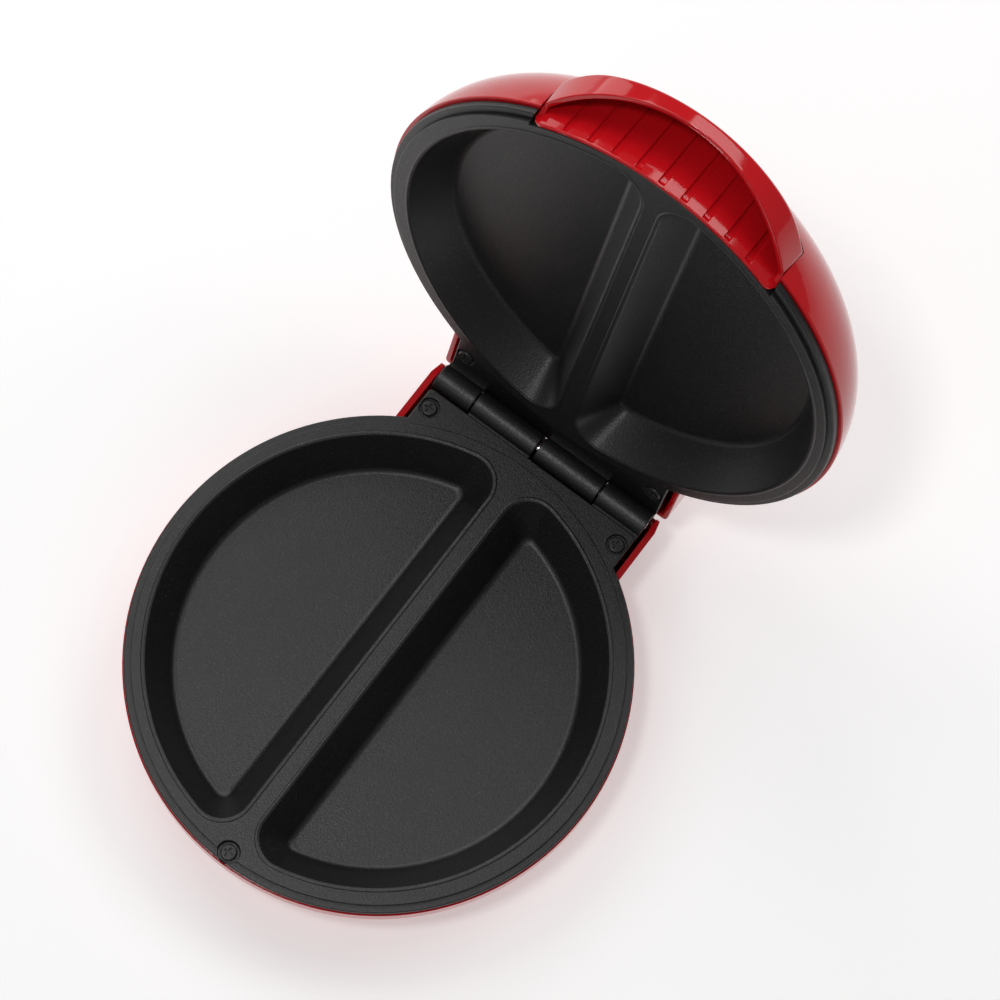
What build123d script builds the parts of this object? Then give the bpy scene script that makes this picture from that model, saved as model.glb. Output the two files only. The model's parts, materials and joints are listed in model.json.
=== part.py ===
from build123d import *
import math
import os

# Two-portion electric egg (omelette) cooker: a round base and a domed lid, each
# with a cast non-stick plate, joined at the rear by a four-knuckle hinge.
#
# Working frame: origin on the axis of the lower plate, z = 0 on its raised ring,
# +Y towards the hinge, +X to the user's right, +Z up. Everything in the lid is
# built in the closed position, swung open about the hinge, and at the end the
# whole part is moved so that its origin is the bottom centre of its box.

# ----------------------------------------------------------------- dimensions
PLATE_R = 95.0          # outer radius of both cast plates
RING_R = 92.3           # outer radius of the raised sealing ring
LIP_DROP = 1.5          # the plate's outer lip lies this far behind the ring
EDGE = 4.4              # thickness of the plate's rim, ring face to back
SKIRT_OUT, SKIRT_IN, SKIRT_DEEP = 92.8, 90.4, 8.2   # locating skirt on the back

CAV_R = 86.4            # mouth of the half-round pans
CAV_DEPTH = 16.0
CAV_SLOPE_OUT = 9.6     # how far the outer wall leans in over the depth
CAV_SLOPE_DIV = 9.9     # the same for the straight wall along the divider
DIV_HALF = 4.3          # half the width of the divider at the face
CORNER_R = 11.0         # corners of the pan at the mouth
FLOOR_CORNER_R = 3.2
FLOOR_FILLET = 3.0
PAN_T = 2.0             # casting thickness under the pans
BEAD_W, BEAD_H = 1.4, 0.3
DIV_X = 0.8             # the divider sits this far off the plate's centre line

LID_FACE = 0.8          # closed gap between the two rings

HINGE_Y, HINGE_Z = 102.78, -4.37
OPEN_DEG = 102.44       # lid opening at its stop
BARREL_R = 5.6
PIN_R = 2.0
BORE_CLEAR = 0.05
# knuckles: x from, x to, body
K1 = (-49.0, -31.9)     # lid
K2 = (-31.35, -2.5)     # base
K3 = (-1.4, 26.9)       # lid
K4 = (27.45, 48.8)      # base
FLANGE_X = 48.6
FLANGE_DROP = 2.0       # hinge flange of the lower plate, below its ring

WALL = 2.2
SHELL_R = 95.6          # base shell at its rim
RIM_GAP = 0.1
FLOOR_Z = -31.8         # underside of the base shell
FOOT_Z = -35.5          # bottom of the rubber feet
FLOOR_R = 80.0

DOME_R, DOME_H, DOME_N, DOME_S = 96.63, 56.0, 2.37, 1.24
DOME_RIM = LID_FACE + EDGE + 0.1   # closed height of the lid shell's edge
DOME_T = 2.3

BOX_X = 52.9            # half width of the hinge housing, outside
BOX_WALL = 2.4
BOX_Y_BASE, BOX_Y_LID = 110.2, 108.5

HANDLE_X = 50.0
HANDLE_BACK = -78.0
HANDLE_FRONT = -110.5
HANDLE_SIDE_Y = -81.5
LIP_TOP = 21.7
LIP_SAG = 2.2           # how much lower the lip's top edge is at its ends
LIP_T = 2.2
GRIP_R = 92.5           # ribbed back wall of the finger recess
GRIP_IN = 90.9

SCREW_Y_FRONT = -91.1
SCREW_REAR = (44.2, 89.5)
HEAD_D, HEAD_H, SHANK_D = 6.2, 1.7, 2.9

ELEMENT_D, ELEMENT_R = 6.0, 52.0

ORIGIN_Y = 47.367       # working-frame y of the finished part's origin

os.makedirs("parts", exist_ok=True)
BASE, LID = {}, {}


# -------------------------------------------------------------------- helpers
def dome_z(r, big=DOME_R, high=DOME_H):
    """Height of the lid's outer surface at radius r."""
    t = min(1.0, abs(r) / big)
    return DOME_S + (high - DOME_S) * (1 - t**DOME_N) ** (1 / DOME_N)


def dome_r(z, big=DOME_R, high=DOME_H):
    t = (z - DOME_S) / (high - DOME_S)
    return big * (1 - t**DOME_N) ** (1 / DOME_N)


def box(x0, x1, y0, y1, z0, z1):
    z0, z1 = min(z0, z1), max(z0, z1)
    return Pos((x0 + x1) / 2, (y0 + y1) / 2, (z0 + z1) / 2) * Box(
        x1 - x0, y1 - y0, z1 - z0
    )


def cyl(x, y, z0, z1, r):
    a, b = min(z0, z1), max(z0, z1)
    return Pos(x, y, (a + b) / 2) * Cylinder(r, b - a)


def cyl_x(y, z, x0, x1, r):
    return Pos((x0 + x1) / 2, y, z) * Rot(0, 90, 0) * Cylinder(r, x1 - x0)


def cyl_y(x, z, y0, y1, r):
    return Pos(x, (y0 + y1) / 2, z) * Rot(90, 0, 0) * Cylinder(r, y1 - y0)


def prism_yz(points, x0, x1):
    """Polygon given as (y, z), extruded along x."""
    sk = Plane.YZ * make_face(Polyline(*points, close=True))
    return Pos(x0, 0, 0) * extrude(sk, amount=x1 - x0)


def d_shape(side, off, corner):
    """Half-disc outline; off is positive towards the inside of the pan."""
    r = CAV_R - off
    x = DIV_HALF + off * CAV_SLOPE_DIV / CAV_SLOPE_OUT
    y = math.sqrt(r * r - x * x)
    arc = ThreePointArc((x, y), (r, 0), (x, -y))
    line = Line((x, -y), (x, y))
    f = make_face([arc, line])
    f = fillet(f.vertices(), corner)
    if side < 0:
        f = mirror(f, Plane.YZ)
    return f


def one(shape):
    """The shape as one solid where it is one."""
    s = shape.solids()
    return s[0] if len(s) == 1 else Compound(children=list(s))


# ---------------------------------------------------------------- cast plates
def make_plate(face, s, div, notch):
    """A cast plate. face is its ring's height, s = -1 when the metal lies below
    the face (base) and +1 when it lies above (lid), div the divider's x."""

    def z(depth):
        return face + s * depth

    body = cyl(0, 0, z(LIP_DROP), z(EDGE), PLATE_R)
    if notch:
        body -= box(-HANDLE_X - 0.3, HANDLE_X + 0.3, -120, -76, z(-1), z(EDGE + 1)) - cyl(
            0, 0, z(-2), z(EDGE + 2), GRIP_IN - 0.15
        )
    body += cyl(0, 0, z(0), z(LIP_DROP), RING_R if not notch else RING_R)
    if notch:
        body -= box(-HANDLE_X - 0.3, HANDLE_X + 0.3, -120, -76, z(-1), z(EDGE + 1)) - cyl(
            0, 0, z(-2), z(EDGE + 2), GRIP_IN - 0.15
        )
    skirt = cyl(0, 0, z(EDGE - 0.5), z(SKIRT_DEEP), SKIRT_OUT) - cyl(
        0, 0, z(EDGE - 1), z(SKIRT_DEEP + 1), SKIRT_IN
    )
    skirt -= box(-56, 56, 60, 120, z(EDGE), z(SKIRT_DEEP + 1))
    if notch:
        skirt -= box(-54, 54, -120, -60, z(EDGE - 2), z(SKIRT_DEEP + 1))
    else:
        skirt -= box(-9, 9, -120, -60, z(EDGE), z(SKIRT_DEEP + 1))
    body += skirt
    for side in (-1, 1):
        mouth = d_shape(side, 0, CORNER_R)
        floor = d_shape(side, CAV_SLOPE_OUT, FLOOR_CORNER_R)
        pan_mouth = d_shape(side, -2.4, CORNER_R + 2)
        pan_floor = d_shape(side, CAV_SLOPE_OUT - 2.4, FLOOR_CORNER_R + 2)
        pan = loft(
            [Pos(div, 0, z(1.2)) * pan_mouth, Pos(div, 0, z(CAV_DEPTH + PAN_T)) * pan_floor],
            ruled=True,
        )
        body += pan
        bead_out = d_shape(side, -BEAD_W, CORNER_R + BEAD_W)
        b0, b1 = sorted((z(-BEAD_H), z(0.5)))
        bead = Pos(div, 0, b0) * extrude(bead_out, amount=b1 - b0)
        if notch:
            bead &= cyl(0, 0, b0 - 1, b1 + 1, GRIP_IN - 0.15)
        body += bead
    for side in (-1, 1):
        mouth = d_shape(side, -0.075, CORNER_R)
        floor = d_shape(side, CAV_SLOPE_OUT, FLOOR_CORNER_R)
        top = d_shape(side, -0.6, CORNER_R)
        tool = loft(
            [Pos(div, 0, z(-1.0)) * top, Pos(div, 0, z(CAV_DEPTH)) * floor], ruled=True
        )
        zf = z(CAV_DEPTH)
        low = [e for e in tool.edges() if abs(e.center().Z - zf) < 0.05]
        try:
            tool = fillet(low, FLOOR_FILLET)
        except Exception:
            tool = fillet(low, 1.5)
        body -= tool
    return body


lower = make_plate(0.0, -1, -DIV_X, False)
upper = make_plate(LID_FACE, +1, DIV_X, True)

# hinge flange and knuckles of the lower plate
fl = box(-FLANGE_X, FLANGE_X, 60, 96.4, -EDGE, -FLANGE_DROP)
fl -= cyl(0, 0, -20, 5, 88.0)
lower += fl
lower -= box(-60, 60, 60, 120, -FLANGE_DROP, 3) - cyl(0, 0, -20, 8, RING_R)
for a, b in (K2, K4):
    lower += box(a, b, 95.5, 99.5, -EDGE - 1.2, -2.6)
    lower += cyl_x(HINGE_Y, HINGE_Z, a, b, BARREL_R)
for a, b in (K1, K3):
    lower -= box(a - 0.3, b + 0.3, 96.45, 120, -20, 10)
lower -= cyl_x(HINGE_Y, HINGE_Z, -60, 60, PIN_R + BORE_CLEAR)
# screw seats: an open counterbore at the front, round recesses on the flange
lower -= cyl(0, SCREW_Y_FRONT, -2.4, 2, 4.25)
lower -= box(-3.2, 3.2, -97, SCREW_Y_FRONT, -LIP_DROP, 2)
for x in (-SCREW_REAR[0], SCREW_REAR[0]):
    lower -= cyl(x, SCREW_REAR[1], -FLANGE_DROP - 1.2, 2, 4.2)
for x, y in ((0, SCREW_Y_FRONT), (-SCREW_REAR[0], SCREW_REAR[1]), SCREW_REAR):
    lower -= cyl(x, y, -20, 3, 1.6)
# bosses under the pans for the element strap
for x in (-38, 38):
    lower += cyl(x, 0, -CAV_DEPTH - 1, -24.2, 4.0)
    lower -= cyl(x, 0, -24.3, -19.2, 1.5)
BASE["lower_cooking_plate"] = lower

# hinge flange and knuckles of the upper plate (closed position)
F0, F1 = LID_FACE + 1.5, LID_FACE + EDGE
fl = box(-FLANGE_X, FLANGE_X, 60, 105.4, F0, F1)
fl -= cyl(0, 0, F0 - 2, F1 + 2, 88.0)
upper += fl
for a, b in (K1, K3):
    upper += box(a, b, 100.8, 105.4, HINGE_Z, F0 + 0.5)
    upper += cyl_x(HINGE_Y, HINGE_Z, a, b, BARREL_R)
upper -= cyl_x(HINGE_Y, HINGE_Z, -60, 60, PIN_R + BORE_CLEAR)
for x in (-SCREW_REAR[0], SCREW_REAR[0]):
    upper -= cyl(x, SCREW_REAR[1] + 1.0, F0 - 2, F0 + 1.2, 4.2)
    upper -= cyl(x, SCREW_REAR[1] + 1.0, F0 - 2, F1 + 3, 1.6)
for x in (-38, 38):
    upper += cyl(x, 0, LID_FACE + CAV_DEPTH + 1, LID_FACE + 24.2, 4.0)
    upper -= cyl(x, 0, LID_FACE + 19.2, LID_FACE + 24.3, 1.5)
upper += cyl(DIV_X, 20, LID_FACE + EDGE - 1, LID_FACE + 15.4, 6.0)
LID["upper_cooking_plate"] = upper


# --------------------------------------------------------------------- screws
def screw(x, y, z_head, up, head_d=HEAD_D, head_h=HEAD_H, length=10.0, shank=SHANK_D):
    """Cross-recessed pan-head screw. z_head is the seat under the head; up is +1
    when the head is on top, -1 when it hangs below its seat."""
    s = cyl(x, y, z_head, z_head + up * head_h, head_d / 2)
    rim = [e for e in s.edges() if abs(e.center().Z - (z_head + up * head_h)) < 0.01]
    s = fillet(rim, head_h * 0.45)
    top = z_head + up * head_h
    deep = head_h * 0.62
    z0, z1 = sorted((top + up * 0.2, top - up * deep))
    w = head_d * 0.075
    s -= box(x - head_d * 0.3, x + head_d * 0.3, y - w, y + w, z0, z1)
    s -= box(x - w, x + w, y - head_d * 0.3, y + head_d * 0.3, z0, z1)
    s += cyl(x, y, z_head, z_head - up * length, shank / 2)
    return s


BASE["lower_plate_screws"] = Compound(
    children=[
        one(screw(0, SCREW_Y_FRONT, -2.4, 1, length=12)),
        one(screw(-SCREW_REAR[0], SCREW_REAR[1], -FLANGE_DROP - 1.2, 1, length=12)),
        one(screw(SCREW_REAR[0], SCREW_REAR[1], -FLANGE_DROP - 1.2, 1, length=12)),
    ]
)
LID["upper_plate_screws"] = Compound(
    children=[
        one(screw(x, SCREW_REAR[1] + 1.0, F0 + 1.2, -1, length=10))
        for x in (-SCREW_REAR[0], SCREW_REAR[0])
    ]
)

# ------------------------------------------------------------------ base shell
def bowl(rim, r_top, r_floor, z_floor, z_top):
    p = [(0, z_floor), (r_floor, z_floor)]
    edge = ThreePointArc(
        (r_floor, z_floor),
        (r_floor + (r_top - r_floor) * 0.74, z_floor + (rim - z_floor) * 0.36),
        (r_top, rim),
    )
    lines = [
        Line(p[0], p[1]),
        edge,
        Line((r_top, rim), (r_top, z_top)),
        Line((r_top, z_top), (0, z_top)),
        Line((0, z_top), p[0]),
    ]
    return revolve(Plane.XZ * make_face(lines), Axis.Z)


RIM_Z = -EDGE - RIM_GAP
shell_out = bowl(-9.0, SHELL_R, FLOOR_R, FLOOR_Z, RIM_Z)
shell_in = bowl(
    -9.0, SHELL_R - WALL, FLOOR_R - WALL * 0.8, FLOOR_Z + WALL, RIM_Z + 1
)


def box_plan(half, y_end, y_bend, half_end, z):
    pts = [
        (-half, 40), (-half, y_bend), (-half_end, y_end),
        (half_end, y_end), (half, y_bend), (half, 40),
    ]
    return Pos(0, 0, z) * make_face(Polyline(*pts, close=True))


box_out = loft(
    [
        box_plan(BOX_X - 2.6, BOX_Y_BASE - 3.0, 99.5, BOX_X - 4.6, FLOOR_Z),
        box_plan(BOX_X, BOX_Y_BASE, 102.5, BOX_X - 1.8, RIM_Z),
    ],
    ruled=True,
)
box_in = loft(
    [
        box_plan(BOX_X - 2.6 - BOX_WALL, BOX_Y_BASE - 3.0 - BOX_WALL, 98.5, BOX_X - 4.6 - BOX_WALL, FLOOR_Z + WALL),
        box_plan(BOX_X - BOX_WALL, BOX_Y_BASE - BOX_WALL, 101.5, BOX_X - BOX_WALL - 0.6, RIM_Z + 1),
    ],
    ruled=True,
)
housing = (shell_out + box_out) - (shell_in + box_in)
# room behind the knuckles for the lid's hinge housing to swing down
housing -= box(-60, 60, 104.0, 130, -12.5, 5) - (
    prism_yz([(100, -40), (100, RIM_Z), (107.4, RIM_Z), (110.3, -12.5), (110.3, -40)], -60, 60)
    - box(-50.2, 50.2, 90, 130, -40, 10)
)
bosses = None
for x, y in ((0, SCREW_Y_FRONT), (-SCREW_REAR[0], SCREW_REAR[1]), SCREW_REAR):
    b = cyl(x, y, FLOOR_Z + 0.5, RIM_Z + 0.05, 4.3)
    bosses = b if bosses is None else bosses + b
housing += bosses & (shell_out + box_out)
for x, y in ((0, SCREW_Y_FRONT), (-SCREW_REAR[0], SCREW_REAR[1]), SCREW_REAR):
    housing -= cyl(x, y, -20, 0, 1.5)
# feet sockets, vents, label recess, cord inlet
FEET = [(-46, -54), (46, -54), (-40, 94), (40, 94)]
for x, y in FEET:
    housing += cyl(x, y, FLOOR_Z, FLOOR_Z + 4.6, 5.2)
    housing -= cyl(x, y, FLOOR_Z - 1, FLOOR_Z + 3.4, 3.1)
for i in range(-3, 4):
    housing -= Pos(i * 8.0, 22, FLOOR_Z) * extrude(
        SlotOverall(30, 2.6, rotation=90), amount=4, both=True
    )
housing -= box(-22, 22, -34, -8, FLOOR_Z - 1, FLOOR_Z + 0.4)
INLET_X, INLET_Z = 0.0, -22.5
housing -= cyl_y(INLET_X, INLET_Z, 100, 120, 5.6)
BASE["lower_housing"] = housing

# cord grommet in the rear wall (the lead itself is not part of the model)
wall_out = BOX_Y_BASE - 3.0 * (INLET_Z - RIM_Z) / (FLOOR_Z - RIM_Z)
GY = wall_out
grommet = cyl_y(INLET_X, INLET_Z, GY - 5.8, GY + 1.6, 5.5)
grommet += cyl_y(INLET_X, INLET_Z, GY + 0.9, GY + 2.6, 7.4)
grommet += cyl_y(INLET_X, INLET_Z, GY - 6.0, GY - 3.5, 6.6)
grommet -= cyl_y(INLET_X, INLET_Z, GY - 8, GY + 6, 3.6)
BASE["cord_grommet"] = grommet

# rubber feet: pad outside, plug in the socket
feet = []
for x, y in FEET:
    f = cyl(x, y, FOOT_Z, FLOOR_Z - 0.02, 7.0)
    rim = [e for e in f.edges() if abs(e.center().Z - FOOT_Z) < 0.01]
    f = fillet(rim, 1.0)
    f += cyl(x, y, FLOOR_Z - 0.1, FLOOR_Z + 3.2, 3.0)
    feet.append(one(f))
BASE["rubber_feet"] = Compound(children=feet)

# hinge pin: a plain steel rod with a head at its left end
pin = cyl_x(HINGE_Y, HINGE_Z, -48.9, 48.9, PIN_R)
ends = [e for e in pin.edges() if abs(abs(e.center().X) - 48.9) < 0.01]
BASE["hinge_pin"] = chamfer(ends, 0.35)


# --------------------------------------------------- elements, straps, shields
def element(z):
    """Tubular ring with its gap at the rear and two cold pins."""
    path = CenterArc((0, 0, z), ELEMENT_R, 122, 296)
    prof = Plane(origin=path @ 0, z_dir=path % 0) * Circle(ELEMENT_D / 2)
    tube = sweep(prof, path=path)
    for t, d in ((0, -1), (1, 1)):
        p, q = path @ t, path % t
        w = Plane(origin=p, z_dir=q * d) * Circle(1.5)
        tube += extrude(w, amount=9)
    return tube


def strap(z0, z1):
    s = box(-58, 58, -7, 7, z0, z1)
    s = fillet(s.edges().filter_by(Axis.Z), 4)
    for x in (-38, 38):
        s -= cyl(x, 0, z0 - 1, z1 + 1, 1.7)
    return s


def shield(z0, t, up):
    """Shallow reflector dish; its rim turns towards the element."""
    d = cyl(0, 0, z0, z0 + t, 64)
    ring = cyl(0, 0, z0, z0 + up * 3 + (t if up > 0 else 0), 64) - cyl(
        0, 0, z0 - 10, z0 + 10, 64 - t
    )
    return d + ring


BASE["lower_heating_element"] = element(-21.1)
BASE["lower_element_strap"] = strap(-25.4, -24.25)
BASE["lower_strap_screws"] = Compound(
    children=[one(screw(x, 0, -25.42, -1, 5.0, 1.3, 5.0, 2.8)) for x in (-38, 38)]
)
BASE["lower_heat_shield"] = shield(-28.0, 0.6, 1)
LF = LID_FACE
LID["upper_heating_element"] = element(LF + 21.1)
LID["upper_element_strap"] = strap(LF + 24.25, LF + 25.4)
LID["upper_strap_screws"] = Compound(
    children=[one(screw(x, 0, LF + 25.42, 1, 5.0, 1.3, 5.0, 2.8)) for x in (-38, 38)]
)
LID["upper_heat_shield"] = shield(LF + 27.6, 0.6, -1) - cyl(0, 0, LF + 20, LF + 27.0, 60)

# ------------------------------------------------------- electrical, base side
fuse = cyl_y(-DIV_X, -8.2, -32, -16, 2.6)
BASE["thermal_fuse"] = fuse
clip = box(-DIV_X - 3.4, -DIV_X + 3.4, -26.5, -21.5, -11.6, -5.3) - box(
    -DIV_X - 2.8, -DIV_X + 2.8, -27, -21, -11.0, -5.2
)
clip -= cyl_y(-DIV_X, -8.2, -40, -10, 2.65)
BASE["fuse_clip"] = one(clip)
block = box(-16, 16, 88, 99, -29.5, -18.5)
for i in range(3):
    x = -10 + 10 * i
    block -= cyl_y(x, -22.0, 80, 110, 1.9)
    block -= cyl(x, 93.5, -20, -18, 2.2)
BASE["terminal_block"] = block
BASE["terminal_screws"] = Compound(
    children=[
        one(screw(-10 + 10 * i, 93.5, -19.6, 1, 3.8, 1.0, 0.35, 2.0)) for i in range(3)
    ]
)


def wire(points, radii, r=1.1):
    path = FilletPolyline(*points, radius=radii)
    prof = Plane(origin=path @ 0, z_dir=path % 0) * Circle(r)
    return one(sweep(prof, path=path))


BASE["lower_wiring"] = Compound(
    children=[
        wire([(-18.4, 49.0, -21.1), (-14.5, 60.0, -21.8), (-10, 74.0, -22.0), (-10, 91.0, -22.0)], 9),
        wire([(18.4, 49.0, -21.1), (14.5, 60.0, -21.8), (10, 74.0, -22.0), (10, 91.0, -22.0)], 9),
        wire([(-0.8, -15.8, -8.2), (-0.8, 6.0, -8.2), (-0.4, 40.0, -12.0), (0, 70.0, -22.0), (0, 91.0, -22.0)], 12),
    ]
)

# ------------------------------------------------------------------- lid shell
def dome_solid(big, high, z_low, n=7):
    """Solid of revolution under the dome's outline, cut off flat at z_low."""
    tall = high - DOME_S
    a0 = math.asin(((z_low - DOME_S) / tall) ** (DOME_N / 2))
    pts, tans = [], []
    for i in range(n + 1):
        a = a0 + (math.pi / 2 - a0) * i / n
        t = abs(math.cos(a)) ** (2 / DOME_N) if i < n else 0.0
        pts.append((big * t, DOME_S + tall * (1 - t**DOME_N) ** (1 / DOME_N)))
        slope = (tall / big) * t ** (DOME_N - 1) * (1 - t**DOME_N) ** (1 / DOME_N - 1)
        ln = math.hypot(1, slope)
        tans.append((-1 / ln, slope / ln))
    edges = []
    for i in range(n):
        (x0, y0), (x1, y1) = pts[i], pts[i + 1]
        k = math.hypot(x1 - x0, y1 - y0) / 3
        edges.append(
            Bezier(
                (x0, y0),
                (x0 + tans[i][0] * k, y0 + tans[i][1] * k),
                (x1 - tans[i + 1][0] * k, y1 - tans[i + 1][1] * k),
                (x1, y1),
            )
        )
    edges += [Line((0, high), (0, z_low)), Line((0, z_low), pts[0])]
    return revolve(Plane.XZ * make_face(edges), Axis.Z)


dome_out = dome_solid(DOME_R, DOME_H, DOME_RIM)
dome_in = dome_solid(DOME_R - DOME_T, DOME_H - DOME_T, DOME_RIM - 3)


def lid_box(half, y_end, drop, z_low):
    pts = [
        (40, z_low), (y_end, z_low), (y_end, 17.0 - drop), (y_end - 2.0, 21.5 - drop),
        (y_end - 6.5, 25.0 - drop), (40, 41.0 - drop),
    ]
    b = prism_yz(pts, -half, half)
    # the shoulders lean in towards the top
    for sgn in (-1, 1):
        cut = Pos(sgn * (half + 8.0), 0, 34.0 - drop) * Rot(0, sgn * 30, 0) * Box(30, 200, 60)
        b -= Pos(sgn * 16.5, 0, 0) * cut
    return b


lbox_out = lid_box(BOX_X, BOX_Y_LID, 0.0, DOME_RIM)
lbox_in = lid_box(BOX_X - BOX_WALL, BOX_Y_LID - BOX_WALL, 2.2, DOME_RIM - 2)
lid_in = dome_in + lbox_in
lid_solid = dome_out + lbox_out
lid_shell = lid_solid - lid_in
# opening for the handle moulding
lid_shell -= box(-HANDLE_X - 0.1, HANDLE_X + 0.1, -130, HANDLE_BACK + 0.1, -5, 60)
# bosses for the plate's screws, the handle's two screws and the lamp holder
TAB_X, TAB_Y = 22.0, -71.5
TAB_Z0, TAB_Z1 = 28.7, 30.9
LENS_X, LENS_Y, LENS_R = 10.0, -52.3, 4.2
lb = cyl(-SCREW_REAR[0], SCREW_REAR[1] + 1.0, F1 + 0.1, 32, 4.0)
lb += cyl(SCREW_REAR[0], SCREW_REAR[1] + 1.0, F1 + 0.1, 32, 4.0)
lid_shell += lb & lid_solid
hb = cyl(-TAB_X, TAB_Y, TAB_Z1 + 0.1, 40, 3.4) + cyl(TAB_X, TAB_Y, TAB_Z1 + 0.1, 40, 3.4)
hb += cyl(0, LENS_Y, 37.7, 50, 3.2)
lid_shell += hb & lid_solid
for x in (-SCREW_REAR[0], SCREW_REAR[0]):
    lid_shell -= cyl(x, SCREW_REAR[1] + 1.0, F1 - 1, F1 + 10, 1.5)
for x in (-TAB_X, TAB_X):
    lid_shell -= cyl(x, TAB_Y, TAB_Z1 - 1, 37.9, 1.5)
lid_shell -= cyl(0, LENS_Y, 36, 44, 1.5)
for x in (-LENS_X, LENS_X):
    lid_shell -= cyl(x, LENS_Y, 40, 60, LENS_R)
LID["upper_housing"] = lid_shell

# ---------------------------------------------------------------------- lenses
lens_cap = dome_solid(DOME_R + 0.9, DOME_H + 0.9, DOME_RIM)
lens_bot = dome_solid(DOME_R - DOME_T - 1.2, DOME_H - DOME_T - 1.2, DOME_RIM)
for name, x in (("power_lens", -LENS_X), ("ready_lens", LENS_X)):
    l = cyl(x, LENS_Y, 40, 60, LENS_R - 0.1) & (lens_cap - lens_bot)
    LID[name] = one(l)
for name, x in (("power_lamp", -LENS_X), ("ready_lamp", LENS_X)):
    l = cyl(x, LENS_Y, 36.4, 45.4, 2.2)
    top = [e for e in l.edges() if abs(e.center().Z - 45.4) < 0.01]
    LID[name] = fillet(top, 1.6)
holder = box(-16, 16, -57, -47, 35.0, 37.6)
for x in (-LENS_X, LENS_X):
    holder += cyl(x, LENS_Y, 35.0, 39.5, 3.6)
    holder -= cyl(x, LENS_Y, 36.3, 41, 2.3)
holder -= cyl(0, LENS_Y, 34, 39, 1.7)
LID["lamp_holder"] = holder
LID["lamp_holder_screw"] = one(screw(0, LENS_Y, 34.98, -1, 5.0, 1.4, 7.0, 2.8))

# ---------------------------------------------------------------- thermostat
th = cyl(DIV_X, 20, LF + 15.5, LF + 19.0, 8.0) + cyl(DIV_X, 20, LF + 19.0, LF + 25.6, 7.2)
for sx in (-1, 1):
    th += box(DIV_X + sx * 5 - 2.4, DIV_X + sx * 5 + 2.4, 19.6, 20.4, LF + 25.0, LF + 27.4)
LID["thermostat"] = one(th)
LID["upper_wiring"] = Compound(
    children=[
        wire([(-18.4, 49.0, LF + 21.1), (-14.5, 60.0, LF + 21.6), (-12, 76.0, LF + 22.0), (-12, 96.0, LF + 12.0)], 8),
        wire([(18.4, 49.0, LF + 21.1), (14.5, 60.0, LF + 21.6), (12, 76.0, LF + 22.0), (12, 96.0, LF + 12.0)], 8),
        wire([(-LENS_X, LENS_Y, 33.4), (-LENS_X, LENS_Y + 9, 32.0), (-LENS_X, 0, 31.5), (-6, 60, 31.5), (-4, 80, 24.0), (-4, 96, 14.0)], 3.5),
        wire([(LENS_X, LENS_Y, 33.4), (LENS_X, LENS_Y + 9, 32.0), (LENS_X, 0, 31.5), (6, 60, 31.5), (4, 80, 24.0), (4, 96, 14.0)], 3.5),
    ]
)


# -------------------------------------------------------------- handle moulding
HC_R = (HANDLE_X**2 + (HANDLE_SIDE_Y - HANDLE_FRONT) ** 2) / (
    2 * (HANDLE_SIDE_Y - HANDLE_FRONT)
)
HC_Y = HANDLE_FRONT + HC_R


def front_y(x, inset=0.0):
    return HC_Y - math.sqrt((HC_R - inset) ** 2 - x * x)


def visor(z_low, drop, inset):
    """Solid under the visor's sloping top, as a loft of upright sections."""
    half = HANDLE_X - inset
    secs = []
    for k in range(13):
        x = -half + 2 * half * k / 12
        zd = dome_z(math.hypot(x, HANDLE_BACK)) - drop
        zf = LIP_TOP - drop - LIP_SAG * max(0.0, (abs(x) - 36.0) / (HANDLE_X - 36.0)) ** 2
        yf = front_y(x, inset)
        pts = [
            (x, HANDLE_BACK, z_low), (x, HANDLE_BACK, zd),
            (x, yf, max(zf, z_low + 0.5)), (x, yf, z_low),
        ]
        secs.append(Wire.make_polygon([Vector(*p) for p in pts], close=True))
    return Solid.make_loft(secs, ruled=False)


outer = visor(LID_FACE, 0.0, 0.0)
far = cyl(0, 0, -5, 70, 140) - cyl(0, 0, -6, 71, GRIP_R)
roof = visor(LID_FACE - 3, LIP_T, LIP_T)
under = Plane.XZ * make_face(
    [
        Line((-60, -3), (60, -3)),
        Line((60, -3), (60, 3.0)),
        ThreePointArc((60, 3.0), (0, 15.9), (-60, 3.0)),
        Line((-60, 3.0), (-60, -3)),
    ]
)
under = (Pos(0, -60, 0) * extrude(under, amount=80)) & far
handle = outer - (roof & far) - under - (roof & cyl(0, 0, -5, 70, GRIP_IN))
# the lip's ends run down to the foot of the grip wall, with rounded corners
for sgn in (-1, 1):
    x0, x1 = sorted((sgn * (HANDLE_X - LIP_T), sgn * HANDLE_X))
    handle += prism_yz([(-76.5, LID_FACE), (-78.4, LID_FACE), (-81.2, 8.2), (-76.5, 8.2)], x0, x1) & outer
    c0, c1 = sorted((sgn * (HANDLE_X - 3.0), sgn * (HANDLE_X + 0.3)))
    handle -= box(c0, c1, -96, -70, LID_FACE - 0.3, LID_FACE + 3.0) - cyl_y(
        sgn * (HANDLE_X - 3.0), LID_FACE + 3.0, -97, -69, 3.0
    )
for i in range(9):
    x = 9.45 * (i - 4)
    a = math.degrees(math.asin(x / GRIP_R))
    handle -= Rot(0, 0, a) * box(-0.8, 0.8, -GRIP_R - 1, -GRIP_R + 0.75, 0, 26.0)
for x in (-TAB_X, TAB_X):
    tab = box(x - 5, x + 5, HANDLE_BACK - 2.2, -66.5, TAB_Z0, TAB_Z1)
    tab += box(x - 5, x + 5, HANDLE_BACK - 2.2, HANDLE_BACK - 0.1, TAB_Z0, 33.5)
    handle += tab - cyl(x, TAB_Y, 28, 40, 1.7)
LID["handle"] = handle
LID["handle_screws"] = Compound(
    children=[one(screw(x, TAB_Y, TAB_Z0 - 0.02, -1, 5.0, 1.4, 5.4, 2.8)) for x in (-TAB_X, TAB_X)]
)

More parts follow.
